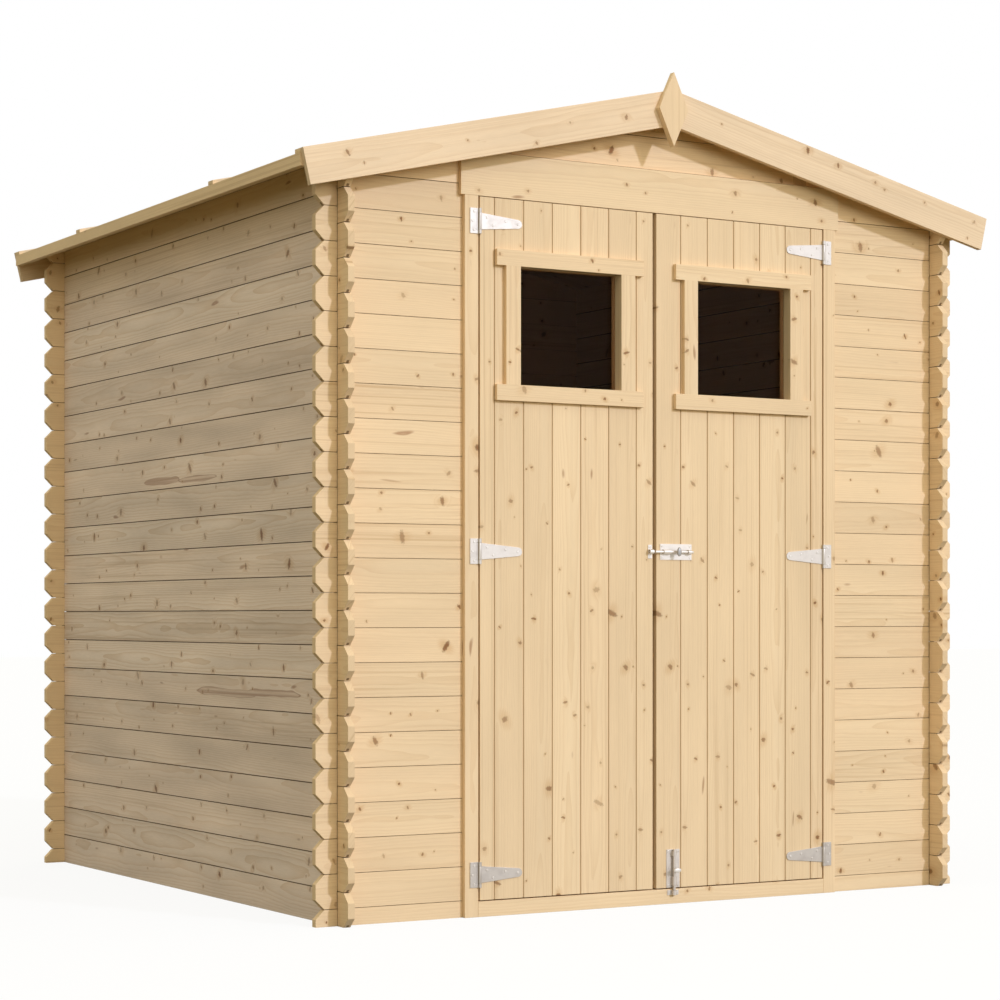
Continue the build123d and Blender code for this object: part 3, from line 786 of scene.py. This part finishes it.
def soften(piece, width):
    weld = piece.modifiers.new("weld", "WELD")
    weld.merge_threshold = weld_reach
    bevel = piece.modifiers.new("seam_edge_shade", "BEVEL")
    bevel.width = width
    bevel.segments = bevel_segments
    bevel.limit_method = "ANGLE"
    bevel.angle_limit = bevel_angle
    bevel.use_clamp_overlap = False


def dress(name, material):
    data = nodes[name].data
    data.materials.clear()
    data.materials.append(material)


for finish, (lay, names) in finishes.items():
    wood = pine(finish, lay)
    for name in names:
        dress(name, wood)
        soften(nodes[name], bevel_width)
metals = {"hinge": zinc_metal, "bolt": bolt_zinc, "keeper": bolt_zinc, "latch": bolt_zinc}
for name in nodes:
    metal = next((metals[word] for word in metals if word in name), None)
    if metal:
        dress(name, metal)
        soften(nodes[name], metal_bevel)
felt_material = felt()
for name in ("left_roof_felt", "right_roof_felt"):
    dress(name, felt_material)
glass_material = pane()
for name in ("left_window_glass", "right_window_glass"):
    dress(name, glass_material)


# A turned or pressed form that faces the front, as rings of shares of its radius and height
def ring_corners(shape, place, rings, width, rise, height, turn):
    rows = []
    for across_share, rise_share in rings:
        row = []
        for corner in range(corner_count):
            angle = turn + (corner - 0.5) * 2 * pi / corner_count
            row.append(shape.verts.new((place[0] + width * across_share * cos(angle),
                                        place[1] - height * rise_share,
                                        place[2] + rise * across_share * sin(angle))))
        rows.append(row)
    return rows


def bridge(shape, rows):
    for low, high in zip(rows, rows[1:]):
        for corner in range(corner_count):
            following = (corner + 1) % corner_count
            shape.faces.new((low[corner], low[following], high[following], high[corner]))
    shape.faces.new(rows[0])
    shape.faces.new(rows[-1])


# A pan head with a cross recess
def add_screw(shape, place, turn):
    rows = ring_corners(shape, place, screw_rings, screw_radius, screw_radius, screw_height, turn)
    arm = screw_radius * recess_reach_share
    half = screw_radius * recess_half_share
    for rise_share in (1.0, recess_floor_share):
        row = []
        for quarter in range(4):
            for u, v in ((arm, -half), (arm, half), (half, half)):
                angle = turn + quarter * pi / 2
                row.append(shape.verts.new((place[0] + u * cos(angle) - v * sin(angle),
                                            place[1] - screw_height * rise_share,
                                            place[2] + u * sin(angle) + v * cos(angle))))
        rows.append(row)
    bridge(shape, rows)


def metal_piece(name, body, shape, metal):
    bmesh.ops.recalc_face_normals(shape, faces=shape.faces)
    mesh = bpy.data.meshes.new(name)
    shape.to_mesh(mesh)
    shape.free()
    mesh.materials.append(metal)
    piece = bpy.data.objects.new(name, mesh)
    scene.collection.objects.link(piece)
    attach(piece, body)
    return piece


hinge_face = -leaf_front - hinge_metal
bolt_face = -leaf_front - bolt_metal
screw_places = {"shed": [], "left_door": [], "right_door": []}
for word, pin in hinge_pins.items():
    inward = 1 if pin < 0 else -1
    for height in hinge_heights:
        for run, rise in strap_screws:
            screw_places[word + "_door"].append((pin + inward * run, hinge_face, height + rise))
        for run, rise in plate_screws:
            screw_places["shed"].append((pin - inward * run, hinge_face, height + rise))
for name in ("latch_plate", "foot_bolt_plate"):
    low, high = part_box(name)
    for x in (low[0] + screw_inset, high[0] - screw_inset):
        for z in (low[2] + screw_inset, high[2] - screw_inset):
            screw_places["right_door"].append((x, bolt_face, z))
latch_low, latch_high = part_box("latch_keeper")
for z in (latch_low[2] + screw_inset, latch_high[2] - screw_inset):
    screw_places["left_door"].append(((latch_low[0] + latch_high[0]) / 2, bolt_face, z))
sill_low, sill_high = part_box("sill_keeper")
for x in (sill_low[0] + screw_inset, sill_high[0] - screw_inset):
    screw_places["shed"].append((x, bolt_face, (sill_low[2] + sill_high[2]) / 2))
for body, places in screw_places.items():
    shape = bmesh.new()
    for count, place in enumerate(places):
        add_screw(shape, place, count * screw_turn)
    metal_piece(body + "_screws", body, shape, screw_metal)

# Web of each hinge plate, from its cut-out almost to the knuckle
shape = bmesh.new()
for pin in hinge_pins.values():
    outward = -1 if pin < 0 else 1
    for height in hinge_heights:
        middle = (pin + outward * (web_start + web_end) / 2, -leaf_front - hinge_metal / 2, height)
        size = (web_end - web_start, hinge_metal, web_height)
        made = bmesh.ops.create_cube(shape, size=1.0)
        bmesh.ops.scale(shape, vec=size, verts=made["verts"])
        bmesh.ops.translate(shape, vec=middle, verts=made["verts"])
metal_piece("hinge_webs", "shed", shape, zinc_metal)

# Oval knobs on the pegs of the bolts
for body in ("latch_bolt", "foot_bolt"):
    low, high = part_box(body)
    if body == "latch_bolt":
        place = (latch_knob, low[1] + knob_seat, (low[2] + high[2]) / 2)
        width, rise = knob_short, knob_long
    else:
        place = ((low[0] + high[0]) / 2, low[1] + knob_seat, foot_knob)
        width, rise = knob_long, knob_short
    shape = bmesh.new()
    bridge(shape, ring_corners(shape, place, knob_rings, width, rise, knob_height, 0.0))
    knob = metal_piece(body + "_knob", body, shape, knob_metals[body])
    for face in knob.data.polygons:
        face.use_smooth = True
    round_off = knob.modifiers.new("round", "SUBSURF")
    round_off.levels = knob_levels
    round_off.render_levels = knob_levels


# Floor and sky are white to the camera, in reflections and through the glass
def seen(tree):
    path = tree.nodes.new("ShaderNodeLightPath")
    words = ("Is Camera Ray", "Is Glossy Ray", "Is Transmission Ray")
    straight, glossy, through = [Flow(tree, path.outputs[word]) for word in words]
    return straight.most(glossy).most(through)


floor_mesh = bpy.data.meshes.new("ground")
shape = bmesh.new()
bmesh.ops.create_grid(shape, x_segments=1, y_segments=1, size=floor_reach)
shape.to_mesh(floor_mesh)
shape.free()
ground = bpy.data.objects.new("ground", floor_mesh)
scene.collection.objects.link(ground)
ground_material = bpy.data.materials.new("ground")
ground_material.use_nodes = True
tree = ground_material.node_tree
tree.nodes.clear()
diffuse = put(tree, "ShaderNodeBsdfDiffuse", {})
feed(tree, diffuse.inputs["Color"], mix(tree, seen(tree), floor_colour, white))
glow = put(tree, "ShaderNodeEmission", {"Color": white, "Strength": 1.0})
blend = put(tree, "ShaderNodeMixShader", {0: seen(tree) * (1 - floor_shadow_share)})
tree.links.new(diffuse.outputs[0], blend.inputs[1])
tree.links.new(glow.outputs[0], blend.inputs[2])
out = tree.nodes.new("ShaderNodeOutputMaterial")
tree.links.new(blend.outputs[0], out.inputs["Surface"])
floor_mesh.materials.append(ground_material)

world = bpy.data.worlds.new("sky")
scene.world = world
world.use_nodes = True
tree = world.node_tree
background = tree.nodes["Background"]
visible = seen(tree)
feed(tree, background.inputs["Color"], mix(tree, visible, sky_colour, white))
feed(tree, background.inputs["Strength"], visible * (1 - sky_strength) + sky_strength)

sun_data = bpy.data.lights.new("sun", "SUN")
sun_data.energy = sun_strength
sun_data.angle = sun_spread
sun_data.color = sun_colour
sun = bpy.data.objects.new("sun", sun_data)
towards = Vector((sin(sun_right) * cos(sun_height), -cos(sun_right) * cos(sun_height), sin(sun_height)))
sun.rotation_euler = towards.to_track_quat("Z", "Y").to_euler()
scene.collection.objects.link(sun)

lamp_data = bpy.data.lights.new("lamp", "AREA")
lamp_data.shape = "RECTANGLE"
lamp_data.size = lamp_width
lamp_data.size_y = lamp_height
lamp_data.energy = lamp_power
lamp_data.color = lamp_colour
lamp = bpy.data.objects.new("lamp", lamp_data)
lamp.location = lamp_place
lamp.rotation_euler = (Vector(lamp_place) - Vector(lamp_target)).to_track_quat("Z", "Y").to_euler()
lamp.visible_camera = False
lamp.visible_glossy = False
lamp.visible_transmission = False
scene.collection.objects.link(lamp)

camera_data = bpy.data.cameras.new("camera")
camera_data.lens = camera_lens
camera_data.shift_y = camera_rise_share
camera = bpy.data.objects.new("camera", camera_data)
camera.location = camera_place
camera.rotation_euler = (pi / 2, 0, -camera_turn)
scene.collection.objects.link(camera)
scene.camera = camera
